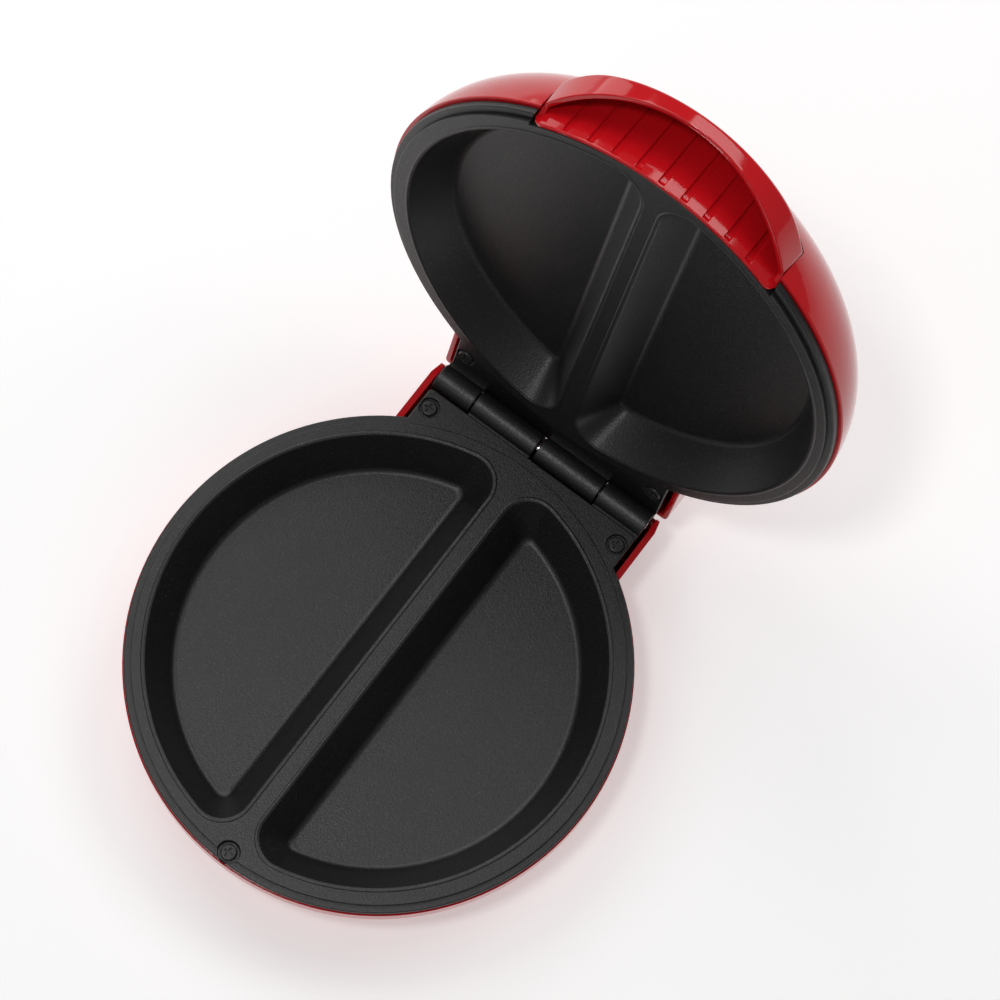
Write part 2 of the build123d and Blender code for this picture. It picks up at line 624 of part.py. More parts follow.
# ------------------------------------------------------------------- write out
AXIS = Axis((0, HINGE_Y, HINGE_Z), (1, 0, 0))
MOVE = Pos(0, -ORIGIN_Y, -FOOT_Z)
total = None
for group, is_lid in ((BASE, False), (LID, True)):
    for name, shape in group.items():
        s = one(shape)
        if is_lid:
            s = s.rotate(AXIS, -OPEN_DEG)
        s = MOVE * s
        s.label = name
        bb = s.bounding_box()
        total = bb if total is None else total.add(bb)
        export_step(s, f"parts/{name}.step")
print("box", total.min, total.max, "centre y", (total.min.Y + total.max.Y) / 2)
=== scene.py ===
import bpy, bmesh, json, math
import numpy as np
from mathutils import Vector, Matrix


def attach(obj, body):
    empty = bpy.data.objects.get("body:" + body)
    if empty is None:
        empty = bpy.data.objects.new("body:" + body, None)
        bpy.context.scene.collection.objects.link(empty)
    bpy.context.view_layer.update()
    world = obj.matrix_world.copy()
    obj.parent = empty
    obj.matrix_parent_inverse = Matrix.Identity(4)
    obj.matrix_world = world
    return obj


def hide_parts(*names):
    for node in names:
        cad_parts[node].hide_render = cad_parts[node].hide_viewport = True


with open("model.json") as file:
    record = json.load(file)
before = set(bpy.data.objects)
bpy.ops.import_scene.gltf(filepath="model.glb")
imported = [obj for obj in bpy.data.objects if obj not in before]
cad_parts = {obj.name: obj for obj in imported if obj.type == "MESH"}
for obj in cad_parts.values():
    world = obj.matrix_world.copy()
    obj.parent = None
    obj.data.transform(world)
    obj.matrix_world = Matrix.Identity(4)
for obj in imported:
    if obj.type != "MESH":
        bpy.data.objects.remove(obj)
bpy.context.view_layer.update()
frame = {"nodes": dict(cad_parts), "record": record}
REC = frame["record"]
NODES = frame["nodes"]

# ---------------------------------------------------------------- frame helpers
# Working frame of the design (mm): lower plate's ring at z = 0, its axis at the
# origin, +Y to the hinge. Lid shapes are described closed and swung open here.
OY, FZ = 47.367, -35.5
HY, HZ = 102.78, -4.37
PHI = math.radians(102.44)
CP, SP = math.cos(PHI), math.sin(PHI)


def to_row(p):
    p = np.asarray(p, float)
    q = np.empty_like(p)
    q[..., 0] = p[..., 0] / 1000
    q[..., 1] = (p[..., 1] - OY) / 1000
    q[..., 2] = (p[..., 2] - FZ) / 1000
    return q


def swing(p):
    p = np.asarray(p, float)
    q = p.copy()
    dy, dz = p[..., 1] - HY, p[..., 2] - HZ
    q[..., 1] = HY + CP * dy + SP * dz
    q[..., 2] = HZ - SP * dy + CP * dz
    return q


def lid_row(p):
    return to_row(swing(p))


# --------------------------------------------------------------- node materials
def new_mat(name):
    m = bpy.data.materials.new(name)
    m.use_nodes = True
    nt = m.node_tree
    for n in list(nt.nodes):
        nt.nodes.remove(n)
    out = nt.nodes.new("ShaderNodeOutputMaterial")
    b = nt.nodes.new("ShaderNodeBsdfPrincipled")
    nt.links.new(b.outputs[0], out.inputs[0])
    return m, nt, b


def nd(nt, kind, **kw):
    n = nt.nodes.new(kind)
    for k, v in kw.items():
        if k.startswith("_"):
            setattr(n, k[1:], v)
        else:
            n.inputs[k.replace("_", " ")].default_value = v
    return n


def ramp(nt, src, stops):
    r = nt.nodes.new("ShaderNodeValToRGB")
    e = r.color_ramp.elements
    while len(e) < len(stops):
        e.new(0.5)
    for i, (pos, col) in enumerate(stops):
        e[i].position = pos
        e[i].color = (*col, 1) if len(col) == 3 else col
    nt.links.new(src, r.inputs[0])
    return r.outputs[0]


def grey(v):
    return (v, v, v)


def coords(nt):
    return nt.nodes.new("ShaderNodeTexCoord").outputs["Object"]


def noise(nt, vec, scale, detail=4.0, rough=0.5, seed=0.0):
    n = nt.nodes.new("ShaderNodeTexNoise")
    n.noise_dimensions = "4D"
    n.inputs["Scale"].default_value = scale
    n.inputs["Detail"].default_value = detail
    n.inputs["Roughness"].default_value = rough
    n.inputs["W"].default_value = seed
    nt.links.new(vec, n.inputs["Vector"])
    return n.outputs["Fac"]


def bump(nt, height, strength, distance, normal=None):
    b = nt.nodes.new("ShaderNodeBump")
    b.inputs["Strength"].default_value = strength
    b.inputs["Distance"].default_value = distance
    nt.links.new(height, b.inputs["Height"])
    if normal is not None:
        nt.links.new(normal, b.inputs["Normal"])
    return b.outputs["Normal"]


def red_plastic(name, seed=0.0):
    """Glossy deep red moulded plastic: even colour, faint long-wave waviness,
    a little dust and very fine polish marks in the gloss."""
    m, nt, b = new_mat(name)
    v = coords(nt)
    n1 = noise(nt, v, 22.0, 3.0, 0.5, seed)
    col = ramp(nt, n1, [(0.3, (0.50, 0.0045, 0.0085)), (0.7, (0.58, 0.0065, 0.0115))])
    nt.links.new(col, b.inputs["Base Color"])
    n2 = noise(nt, v, 260.0, 6.0, 0.62, seed + 3)
    rr = ramp(nt, n2, [(0.35, grey(0.065)), (0.75, grey(0.11))])
    nt.links.new(rr, b.inputs["Roughness"])
    n3 = noise(nt, v, 9.0, 2.0, 0.5, seed + 7)
    n4 = noise(nt, v, 900.0, 2.0, 0.5, seed + 9)
    nm = bump(nt, n3, 0.05, 0.002)
    nm = bump(nt, n4, 0.04, 0.0001, nm)
    nt.links.new(nm, b.inputs["Normal"])
    b.inputs["IOR"].default_value = 1.5
    b.inputs["Specular IOR Level"].default_value = 0.38
    b.inputs["Coat Weight"].default_value = 0.22
    b.inputs["Coat Roughness"].default_value = 0.05
    return m


def coated(name, seed=0.0):
    """Sprayed non-stick coating on cast aluminium: near black, satin, fine
    speckle of lighter flakes and a pebbled texture."""
    m, nt, b = new_mat(name)
    v = coords(nt)
    fleck = noise(nt, v, 1500.0, 2.0, 0.6, seed)
    cloud = noise(nt, v, 30.0, 4.0, 0.55, seed + 2)
    c1 = ramp(nt, cloud, [(0.3, grey(0.0075)), (0.75, grey(0.0115))])
    c2 = ramp(nt, fleck, [(0.60, grey(0.0)), (0.72, grey(0.045))])
    mix = nt.nodes.new("ShaderNodeMix")
    mix.data_type = "RGBA"
    mix.blend_type = "ADD"
    mix.inputs["Factor"].default_value = 1.0
    nt.links.new(c1, mix.inputs[6])
    nt.links.new(c2, mix.inputs[7])
    nt.links.new(mix.outputs[2], b.inputs["Base Color"])
    pb = noise(nt, v, 1250.0, 3.0, 0.65, seed + 5)
    rr = ramp(nt, pb, [(0.3, grey(0.30)), (0.7, grey(0.46))])
    nt.links.new(rr, b.inputs["Roughness"])
    nm = bump(nt, pb, 0.8, 0.00017)
    nt.links.new(nm, b.inputs["Normal"])
    b.inputs["Specular IOR Level"].default_value = 0.55
    b.inputs["IOR"].default_value = 1.5
    return m


def metal(name, col, rough, seed=0.0, brushed=(1, 1, 12), tint=None):
    m, nt, b = new_mat(name)
    v = coords(nt)
    mp = nt.nodes.new("ShaderNodeMapping")
    mp.inputs["Scale"].default_value = brushed
    nt.links.new(v, mp.inputs["Vector"])
    n1 = noise(nt, mp.outputs[0], 420.0, 5.0, 0.6, seed)
    dark = tuple(c * 0.72 for c in col)
    c = ramp(nt, n1, [(0.25, dark), (0.7, col)])
    if tint:
        n2 = noise(nt, v, 60.0, 3.0, 0.5, seed + 4)
        f = ramp(nt, n2, [(0.35, grey(0)), (0.7, grey(1))])
        mix = nt.nodes.new("ShaderNodeMix")
        mix.data_type = "RGBA"
        nt.links.new(f, mix.inputs["Factor"])
        nt.links.new(c, mix.inputs[6])
        mix.inputs[7].default_value = (*tint, 1)
        c = mix.outputs[2]
    nt.links.new(c, b.inputs["Base Color"])
    rr = ramp(nt, n1, [(0.2, grey(rough * 0.75)), (0.8, grey(rough * 1.3))])
    nt.links.new(rr, b.inputs["Roughness"])
    nt.links.new(bump(nt, n1, 0.2, 0.00005), b.inputs["Normal"])
    b.inputs["Metallic"].default_value = 1.0
    return m


def matt(name, col, col2, rough, scale=300.0, seed=0.0, bstr=0.3, bdist=0.0001):
    m, nt, b = new_mat(name)
    v = coords(nt)
    n1 = noise(nt, v, scale, 5.0, 0.6, seed)
    nt.links.new(ramp(nt, n1, [(0.3, col), (0.7, col2)]), b.inputs["Base Color"])
    nt.links.new(
        ramp(nt, n1, [(0.25, grey(rough * 0.85)), (0.75, grey(min(1, rough * 1.15)))]),
        b.inputs["Roughness"],
    )
    n2 = noise(nt, v, scale * 4, 3.0, 0.5, seed + 1)
    nt.links.new(bump(nt, n2, bstr, bdist), b.inputs["Normal"])
    return m


def lens_mat(name, col, seed):
    m, nt, b = new_mat(name)
    v = coords(nt)
    n1 = noise(nt, v, 500.0, 3.0, 0.5, seed)
    nt.links.new(
        ramp(nt, n1, [(0.3, tuple(c * 0.8 for c in col)), (0.7, col)]),
        b.inputs["Base Color"],
    )
    nt.links.new(ramp(nt, n1, [(0.3, grey(0.06)), (0.7, grey(0.12))]), b.inputs["Roughness"])
    nt.links.new(bump(nt, n1, 0.1, 0.0001), b.inputs["Normal"])
    b.inputs["Transmission Weight"].default_value = 0.35
    b.inputs["IOR"].default_value = 1.49
    return m


MAT = {
    "red_shell": red_plastic("red_shell", 1.0),
    "nonstick": coated("nonstick", 2.0),
    "black_screw": matt("black_screw", (0.012, 0.012, 0.013), (0.028, 0.028, 0.03), 0.38, 900, 3.0, 0.35, 0.00005),
    "zinc_screw": metal("zinc_screw", (0.62, 0.62, 0.64), 0.3, 4.0, (1, 1, 4)),
    "element_steel": metal("element_steel", (0.36, 0.33, 0.30), 0.42, 5.0, (1, 1, 3), (0.20, 0.15, 0.12)),
    "strap_steel": metal("strap_steel", (0.56, 0.56, 0.57), 0.33, 6.0, (1, 14, 1)),
    "shield_aluminium": metal("shield_aluminium", (0.80, 0.80, 0.82), 0.25, 7.0, (1, 16, 1)),
    "pin_steel": metal("pin_steel", (0.78, 0.78, 0.80), 0.16, 8.0, (14, 1, 1)),
    "rubber": matt("rubber", (0.010, 0.010, 0.010), (0.022, 0.022, 0.022), 0.72, 500, 9.0, 0.6, 0.0002),
    "ceramic_body": matt("ceramic_body", (0.66, 0.63, 0.55), (0.76, 0.73, 0.66), 0.6, 260, 10.0),
    "fuse_body": matt("fuse_body", (0.70, 0.70, 0.66), (0.82, 0.82, 0.78), 0.65, 700, 11.0, 0.8, 0.0002),
    "wire_jacket": matt("wire_jacket", (0.74, 0.71, 0.62), (0.86, 0.83, 0.75), 0.7, 900, 12.0, 0.9, 0.0002),
    "red_lens": lens_mat("red_lens", (0.55, 0.02, 0.012), 13.0),
    "green_lens": lens_mat("green_lens", (0.03, 0.42, 0.08), 14.0),
    "lamp_glass": lens_mat("lamp_glass", (0.85, 0.78, 0.70), 15.0),
    "black_plastic": matt("black_plastic", (0.016, 0.016, 0.017), (0.030, 0.030, 0.032), 0.5, 420, 16.0),
}

SLOT = {s["node"]: s["material_slot"] for s in REC["subparts"]}


# --------------------------------------------------- CAD nodes: finish and edges
def finish_cad(o, slot_name, bevel=0.0, segs=2, angle=32, planar=0.6):
    o.data.materials.clear()
    o.data.materials.append(MAT[slot_name])
    o.data.polygons.foreach_set("use_smooth", [True] * len(o.data.polygons))
    if o.data.has_custom_normals:
        bpy.context.view_layer.objects.active = o
        with bpy.context.temp_override(object=o, active_object=o):
            bpy.ops.mesh.customdata_custom_splitnormals_clear()
    w = o.modifiers.new("weld", "WELD")
    w.merge_threshold = 0.000004
    if planar:
        d = o.modifiers.new("planar", "DECIMATE")
        d.decimate_type = "DISSOLVE"
        d.angle_limit = math.radians(planar)
    if bevel:
        bv = o.modifiers.new("bevel", "BEVEL")
        bv.width = bevel / 1000
        bv.segments = segs
        bv.limit_method = "ANGLE"
        bv.angle_limit = math.radians(angle)
        bv.use_clamp_overlap = True
        bv.harden_normals = True
    wn = o.modifiers.new("wn", "WEIGHTED_NORMAL")
    wn.keep_sharp = True
    wn.weight = 60


BEVEL = {
    "lower_cooking_plate": 0.35, "upper_cooking_plate": 0.35,
    "lower_housing": 0.5, "upper_housing": 0.5, "handle": 0.4,
    "rubber_feet": 0.3, "cord_grommet": 0.35, "terminal_block": 0.3, "lamp_holder": 0.3,
    "lower_plate_screws": 0.12, "upper_plate_screws": 0.12,
    "thermostat": 0.2, "hinge_pin": 0.1,
}
for node, o in NODES.items():
    finish_cad(o, SLOT[node], BEVEL.get(node, 0.0))

# ------------------------------------------------------------- mesh builders
def loop_quads(a, b, close=True):
    n = len(a)
    m = n if close else n - 1
    return [(a[i], a[(i + 1) % n], b[(i + 1) % n], b[i]) for i in range(m)]


class Build:
    """Collects points (mm, design frame) and faces, then makes one mesh."""

    def __init__(self):
        self.v, self.f, self.n = [], [], 0

    def add(self, pts):
        pts = np.asarray(pts, float).reshape(-1, 3)
        self.v.append(pts)
        i = list(range(self.n, self.n + len(pts)))
        self.n += len(pts)
        return i

    def sweep(self, rings, close=True):
        """rings: equal-length point loops, joined one to the next."""
        ids = [self.add(r) for r in rings]
        for a, b in zip(ids, ids[1:]):
            self.f += loop_quads(a, b, close)
        return ids

    def grid(self, g):
        g = np.asarray(g, float)
        ids = [self.add(row) for row in g]
        for a, b in zip(ids, ids[1:]):
            self.f += loop_quads(a, b, False)
        return ids

    def cap(self, ids):
        self.f.append(tuple(ids))

    def planar(self, loops, z, keep):
        """Fills the flat area between outlines (lists of xy) at height z."""
        from mathutils.geometry import delaunay_2d_cdt

        pts, edges = [], []
        for lp in loops:
            k = len(pts)
            m = len(lp)
            pts += [Vector((float(x), float(y))) for x, y in lp]
            edges += [(k + i, k + (i + 1) % m) for i in range(m)]
        res = delaunay_2d_cdt(pts, edges, [], 0, 1e-5)
        vs, fs = res[0], res[2]
        ids = self.add([(p[0], p[1], z) for p in vs])
        for f in fs:
            c = sum((vs[i] for i in f), Vector((0, 0))) / len(f)
            if keep(c[0], c[1]):
                self.f.append(tuple(ids[i] for i in f))

    def make(self, name, mat, to_frame, sharp=35, merge=0.004):
        v = to_frame(np.concatenate(self.v))
        me = bpy.data.meshes.new(name)
        me.from_pydata(v.tolist(), [], self.f)
        bm = bmesh.new()
        bm.from_mesh(me)
        bmesh.ops.remove_doubles(bm, verts=bm.verts, dist=merge / 1000)
        bmesh.ops.dissolve_degenerate(bm, edges=bm.edges, dist=1e-7)
        bmesh.ops.recalc_face_normals(bm, faces=bm.faces)
        for f in bm.faces:
            f.smooth = True
        lim = math.radians(sharp)
        for e in bm.edges:
            if len(e.link_faces) == 2:
                e.smooth = e.calc_face_angle(0.0) < lim
        bm.to_mesh(me)
        bm.free()
        me.materials.append(mat)
        o = bpy.data.objects.new(name, me)
        bpy.context.scene.collection.objects.link(o)
        wn = o.modifiers.new("wn", "WEIGHTED_NORMAL")
        wn.keep_sharp = True
        wn.weight = 80
        return o


def arc_pts(cx, cz, r, a0, a1, n):
    return [
        (cx + r * math.cos(math.radians(a0 + (a1 - a0) * i / n)),
         cz + r * math.sin(math.radians(a0 + (a1 - a0) * i / n)))
        for i in range(n + 1)
    ]


# ------------------------------------------------------------ half-moon outline
CAV_R, SL_OUT, SL_DIV, DIVH = 86.4, 9.6, 9.9, 4.3


def d_loop(side, off, corner, div, n_arc=150, n_line=40, n_c=12):
    """Half-moon outline, counter-clockwise for side = +1. off > 0 is inside."""
    r = CAV_R - off
    x0 = DIVH + off * SL_DIV / SL_OUT
    c = max(corner, 0.05)
    # corner circles touch the big arc from inside and the straight wall
    cx = x0 + c
    cy = math.sqrt(max((r - c) ** 2 - cx * cx, 0.0))
    t = math.atan2(cy, cx)
    pts = []
    for i in range(n_arc):
        a = -t + 2 * t * i / n_arc
        pts.append((r * math.cos(a), r * math.sin(a)))
    for i in range(n_c):
        a = t + (math.pi - t) * i / n_c
        pts.append((cx + c * math.cos(a), cy + c * math.sin(a)))
    for i in range(n_line):
        pts.append((x0, cy - 2 * cy * i / n_line))
    for i in range(n_c):
        a = math.pi + (math.pi - t) * i / n_c
        pts.append((cx + c * math.cos(a), -cy + c * math.sin(a)))
    p = np.array(pts)
    if side < 0:
        p[:, 0] *= -1
        p = p[::-1]
    p[:, 0] += div
    return p


CDEP = 16.0


def wall_profile():
    """(offset inwards, depth, corner radius) down a pan, bead to floor."""
    out = []
    # bead: rounded ridge round the mouth, 1.4 wide and 0.3 high
    for k in range(7):
        a = math.pi * k / 6
        out.append((-0.95 - 0.62 * math.cos(a) if k else -1.62, -0.30 * math.sin(a) ** 0.8, None))
    # land between the bead and the mouth, then the mouth's rounding
    sl = SL_OUT / CDEP
    ang = math.atan(1 / sl)
    rr = 0.75
    tang = rr * math.tan(ang / 2)
    for k in range(7):
        a = ang * k / 6
        out.append((-tang + rr * math.sin(a), rr * (1 - math.cos(a)), None))
    # wall, then the fillet to the floor
    rf = 3.2
    tf = rf * math.tan(ang / 2)
    ux, uz = math.cos(ang), math.sin(ang)
    s0 = (SL_OUT - tf * ux, CDEP - tf * uz)
    for k in range(1, 8):
        t = k / 8
        out.append((tang * ux + (s0[0] - tang * ux) * t, tang * uz + (s0[1] - tang * uz) * t, None))
    cxx, czz = SL_OUT + tf, CDEP - rf
    for k in range(9):
        a = ang * (1 - k / 8)
        out.append((cxx - rf * math.sin(a), czz + rf * math.cos(a), None))
    return out


def pan(bd, side, div, zmap):
    prof = wall_profile()
    rings = []
    for off, dep, _ in prof:
        t = min(max(off / SL_OUT, 0.0), 1.0)
        corner = 11.0 - min(off, 0) if off < 0 else 11.0 + (3.6 - 11.0) * t
        if off > SL_OUT:
            corner = max(3.6 - (off - SL_OUT) * 0.3, 2.4)
        lp = d_loop(side, off, corner, div)
        rings.append(np.column_stack([lp, np.full(len(lp), zmap(dep))]))
    ids = bd.sweep(rings)
    last = rings[-1][:, :2]
    bd.planar([last], zmap(CDEP), lambda x, y: True)
    return rings[0][:, :2]


def inside(poly):
    px, py = poly[:, 0], poly[:, 1]
    qx, qy = np.roll(px, -1), np.roll(py, -1)

    def test(x, y):
        cross = ((py > y) != (qy > y)) & (x < (qx - px) * (y - py) / (qy - py + 1e-12) + px)
        return bool(np.count_nonzero(cross) % 2)

    return test


def circle(cx, cy, r, n, a0=0.0):
    a = a0 + np.arange(n) * 2 * math.pi / n
    return np.column_stack([cx + r * np.cos(a), cy + r * np.sin(a)])


# ----------------------------------------------------------------- cast plates
def offset_loop(p, d):
    """Moves a dense counter-clockwise outline inwards by d."""
    a, b = np.roll(p, 1, 0), np.roll(p, -1, 0)
    t1 = p - a
    t2 = b - p
    t1 /= np.linalg.norm(t1, axis=1)[:, None] + 1e-12
    t2 /= np.linalg.norm(t2, axis=1)[:, None] + 1e-12
    t = t1 + t2
    ln = np.linalg.norm(t, axis=1)[:, None]
    t /= ln + 1e-12
    n = np.column_stack([-t[:, 1], t[:, 0]])
    k = np.clip(2.0 / (ln[:, 0] ** 2 / 2 + 1e-9) * (ln[:, 0] / 2), 1.0, 1.4)
    return p + n * (d * k)[:, None]


def arc_to(r, a0, a1, step=1.0):
    n = max(2, int(abs(a1 - a0) / step))
    a = np.radians(np.linspace(a0, a1, n + 1))
    return np.column_stack([r * np.cos(a), r * np.sin(a)])


def fillet_path(pts, radii, n=6):
    """Polyline with rounded corners (open), for small connecting runs."""
    out = [np.array(pts[0], float)]
    for i in range(1, len(pts) - 1):
        p0, p1, p2 = (np.array(q, float) for q in pts[i - 1 : i + 2])
        u, v = p0 - p1, p2 - p1
        lu, lv = np.linalg.norm(u), np.linalg.norm(v)
        u, v = u / lu, v / lv
        r = radii[i - 1]
        c = float(np.clip(u @ v, -1, 1))
        half = math.acos(c) / 2
        d = min(r / max(math.tan(half), 1e-6), lu * 0.45, lv * 0.45)
        a, b = p1 + u * d, p1 + v * d
        for k in range(n + 1):
            t = k / n
            out.append((1 - t) ** 2 * a + 2 * t * (1 - t) * p1 + t * t * b)
    out.append(np.array(pts[-1], float))
    return np.array(out)


def densify(p, step=1.5):
    out = []
    for i in range(len(p)):
        a, b = p[i], p[(i + 1) % len(p)]
        d = np.linalg.norm(b - a)
        m = max(1, int(d / step))
        for k in range(m):
            out.append(a + (b - a) * k / m)
    q = np.array(out)
    keep = np.linalg.norm(q - np.roll(q, 1, 0), axis=1) > 1e-4
    return q[keep]


R_FACE, R_LIP, GRIP_CUT, HXN = 92.3, 95.0, 90.75, 50.3


def face_outline(lid):
    """Outline of the raised ring face, counter-clockwise from the hinge side."""
    if lid:
        y1 = math.sqrt(R_FACE**2 - HXN**2)
        y2 = math.sqrt(GRIP_CUT**2 - HXN**2)
        aL = math.degrees(math.atan2(-y1, -HXN)) % 360
        aR = math.degrees(math.atan2(-y1, HXN)) % 360
        bL = math.degrees(math.atan2(-y2, -HXN)) % 360
        bR = math.degrees(math.atan2(-y2, HXN)) % 360
        p = [
            arc_to(R_FACE, 90, aL),
            arc_to(GRIP_CUT, bL, bR),
            arc_to(R_FACE, aR, 450)[:-1],
        ]
        return densify(np.concatenate(p), 1.6)
    # keyhole round the front screw, flared to the outer step
    cy, cr = -91.1, 4.3
    w = 3.3
    yc = cy - math.sqrt(cr * cr - w * w)
    a0 = math.degrees(math.atan2(-math.sqrt(R_FACE**2 - 4.6**2), -4.6)) % 360
    a1 = math.degrees(math.atan2(-math.sqrt(R_FACE**2 - 4.6**2), 4.6)) % 360
    th = math.degrees(math.acos(min(1, (abs(cy) - 90.6) / cr)))
    key = []
    for k in range(25):
        a = math.radians(200 - k * (220 / 24.0))
        key.append((cr * math.cos(a), cy + cr * math.sin(a)))
    p = [arc_to(R_FACE, 90, a0 - 0.2), np.array(key), arc_to(R_FACE, a1 + 0.2, 450)[:-1]]
    return densify(np.concatenate(p), 1.6)


def lip_outline(lid, fx=48.6):
    """Outline of the plate's outer lip with its hinge flange."""
    fy = 105.4 if lid else 96.4
    y0 = math.sqrt(R_LIP**2 - fx**2)
    aS = math.degrees(math.atan2(y0, -fx))
    aE = math.degrees(math.atan2(y0, fx))
    flange = fillet_path(
        [(fx, y0), (fx, fy), (-fx, fy), (-fx, y0)], [2.2, 2.2], 6
    )
    if lid:
        y1 = math.sqrt(R_LIP**2 - HXN**2)
        y2 = math.sqrt(GRIP_CUT**2 - HXN**2)
        aL = math.degrees(math.atan2(-y1, -HXN)) % 360
        aR = math.degrees(math.atan2(-y1, HXN)) % 360
        bL = math.degrees(math.atan2(-y2, -HXN)) % 360
        bR = math.degrees(math.atan2(-y2, HXN)) % 360
        p = [
            flange,
            arc_to(R_LIP, aS, aL)[1:],
            arc_to(GRIP_CUT, bL, bR),
            arc_to(R_LIP, aR, 360 + aE)[:-1],
        ]
    else:
        p = [flange, arc_to(R_LIP, aS, 360 + aE)[1:-1]]
    return densify(np.concatenate(p), 1.6)


def rev_x(bd, a, b, y, z, r, rin, e=0.45, n=72):
    """A hinge knuckle: a short tube along x with rounded rims."""
    prof = [(a + 0.25, rin), (a, rin + 0.25), (a, r - e)]
    prof += [(a + e - e * math.cos(t), r - e + e * math.sin(t)) for t in np.linspace(0.3, math.pi / 2, 4)]
    for x in np.linspace(a + e, b - e, 6)[1:-1]:
        prof.append((x, r))
    prof += [(b - e + e * math.sin(t), r - e + e * math.cos(t)) for t in np.linspace(0, math.pi / 2 - 0.3, 4)]
    prof += [(b, r - e), (b, rin + 0.25), (b - 0.25, rin), (a + 0.25, rin)]
    ang = np.arange(n) * 2 * math.pi / n
    rings = [np.column_stack([np.full(n, x), y + rr * np.cos(ang), z + rr * np.sin(ang)]) for x, rr in prof]
    bd.sweep(rings)


def rbox(bd, x0, x1, y0, y1, z0, z1, e=0.35):
    bm = bmesh.new()
    bmesh.ops.create_cube(bm, size=1)
    for v in bm.verts:
        v.co = Vector((
            x0 + (v.co.x + 0.5) * (x1 - x0), y0 + (v.co.y + 0.5) * (y1 - y0), z0 + (v.co.z + 0.5) * (z1 - z0)
        ))
    bmesh.ops.bevel(bm, geom=list(bm.edges), offset=e, segments=2, profile=0.5, affect="EDGES")
    bm.verts.ensure_lookup_table()
    ids = bd.add([v.co[:] for v in bm.verts])
    for f in bm.faces:
        bd.f.append(tuple(ids[v.index] for v in f.verts))
    bm.free()


def make_plate(name, lid):
    bd = Build()
    face, sg, div = (0.8, 1, 0.8) if lid else (0.0, -1, -0.8)
    zm = lambda d: face + sg * d
    outlines = [pan(bd, side, div, zm) for side in (-1, 1)]
    F = face_outline(lid)
    # rounded edge of the raised ring, then its step down to the lip
    e = 0.34
    rings = []
    for k in range(5):
        t = math.pi / 2 * k / 4
        rings.append((e * (1 - math.sin(t)), e * (1 - math.cos(t))))
    prof = rings + [(0.0, 0.8), (0.0, 1.6 if lid else 2.6)]
    loops = [offset_loop(F, o) if o else F for o, _ in prof]
    bd.sweep([np.column_stack([lp, np.full(len(lp), zm(d))]) for lp, (_, d) in zip(loops, prof)])
    tests = [inside(o) for o in outlines]
    fin = inside(loops[0])
    bd.planar(
        [loops[0]] + outlines, zm(0),
        lambda x, y: fin(x, y) and not tests[0](x, y) and not tests[1](x, y),
    )
    # outer lip with the hinge flange
    L = lip_outline(lid)
    e2 = 0.5
    prof = []
    for k in range(5):
        t = math.pi / 2 * k / 4
        prof.append((e2 * (1 - math.sin(t)), 1.5 + e2 * (1 - math.cos(t))))
    prof += [(0.0, 3.0), (0.0, 4.15), (0.25, 4.4), (2.0, 4.4)]
    loops2 = [offset_loop(L, o) if o else L for o, _ in prof]
    bd.sweep([np.column_stack([lp, np.full(len(lp), zm(d))]) for lp, (_, d) in zip(loops2, prof)])
    lin = inside(loops2[0])
    f2 = inside(offset_loop(F, 0.6))
    seats = [(-44.2, 90.5 if lid else 89.5), (44.2, 90.5 if lid else 89.5)]
    if not lid:
        seats.append((0, -91.1))
    cuts = [circle(x, y, 4.2 if y > 0 else 4.3, 48) for x, y in seats]
    ctest = [inside(c) for c in cuts]
    bd.planar(
        [loops2[0], offset_loop(F, 0.6)] + cuts, zm(1.5),
        lambda x, y: lin(x, y) and not f2(x, y) and not any(c(x, y) for c in ctest),
    )
    for (x, y), c in zip(seats, cuts):
        deep = 2.7 if lid else (2.4 if y < 0 else 3.2)
        rr = 4.2 if y > 0 else 4.3
        rs = [(rr, 1.5), (rr - 0.12, 1.62), (rr - 0.12, deep - 0.2), (rr - 0.3, deep), (1.2, deep)]
        bd.sweep([
            np.column_stack([circle(x, y, r, 48), np.full(48, zm(d))]) for r, d in rs
        ])
    if lid:
        for a, b in ((-49.0, -31.9), (-1.4, 26.9)):
            rev_x(bd, a, b, HY, HZ, 5.6, 2.07)
            rbox(bd, a + 0.02, b - 0.02, 100.85, 105.38, HZ + 3.4, 2.9, 0.4)
    else:
        for a, b in ((-31.35, -2.5), (27.45, 48.8)):
            rev_x(bd, a, b, HY, HZ, 5.6, 2.07)
            rbox(bd, a + 0.02, b - 0.02, 95.5, 99.6, -5.6, -2.6, 0.3)
    o = bd.make(name, MAT["nonstick"], lid_row if lid else to_row)
    return o


lower_plate = make_plate("lower_plate_cast", False)
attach(lower_plate, "base")
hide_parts("lower_cooking_plate")
upper_plate = make_plate("upper_plate_cast", True)
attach(upper_plate, "lid")
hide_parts("upper_cooking_plate")
# --------------------------------------------------------------- lid's outside
D_R, D_H, D_N, D_S = 96.63, 56.0, 2.37, 1.24
RIMZ = 5.3


def dome_z(r):
    t = np.clip(np.abs(r) / D_R, 0, 1)
    return D_S + (D_H - D_S) * (1 - t**D_N) ** (1 / D_N)


def smax(a, b, k):
    h = np.clip(0.5 + 0.5 * (a - b) / k, 0, 1)
    return b + (a - b) * h + k * h * (1 - h)


